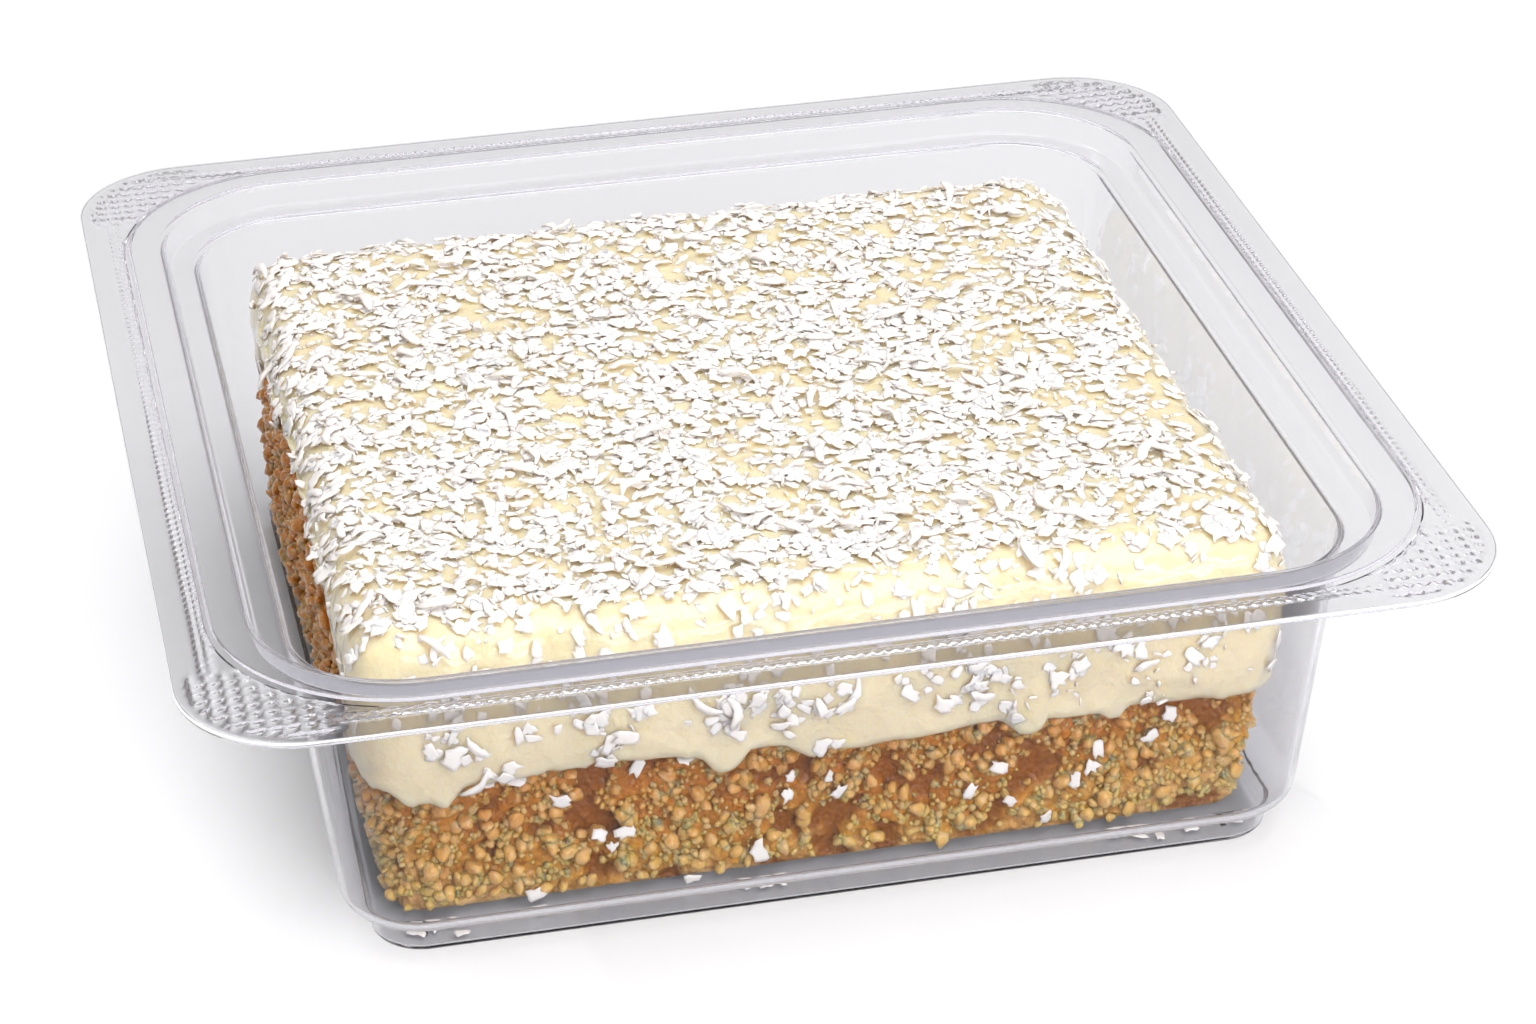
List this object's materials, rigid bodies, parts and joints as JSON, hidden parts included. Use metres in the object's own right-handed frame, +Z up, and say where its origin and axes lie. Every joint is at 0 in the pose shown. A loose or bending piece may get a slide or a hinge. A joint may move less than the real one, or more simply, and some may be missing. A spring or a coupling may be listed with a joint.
{
  "type": "semolina custard cake",
  "caption": "Square of syrup-soaked semolina sponge with a thick custard layer and shredded coconut, in its open clear thermoformed tray.",
  "frame": {"origin": "middle of the tray's foot, on the surface that it stands on", "axes": "+Z up, -Y to the front, +X to the right; the cake lies a little off the middle, towards the back"},
  "size_m": [0.16, 0.16, 0.047],
  "materials": {
    "clear_plastic": "clear thermoformed sheet with knurled corners",
    "semolina_sponge": "coarse syrupy crumb with glassy grains",
    "custard_and_coconut": "smooth ivory custard under white shredded coconut"
  },
  "bodies": {
    "root": {"tray": "clear_plastic", "sponge": "semolina_sponge", "custard": "custard_and_coconut"}
  },
  "joints": []
}
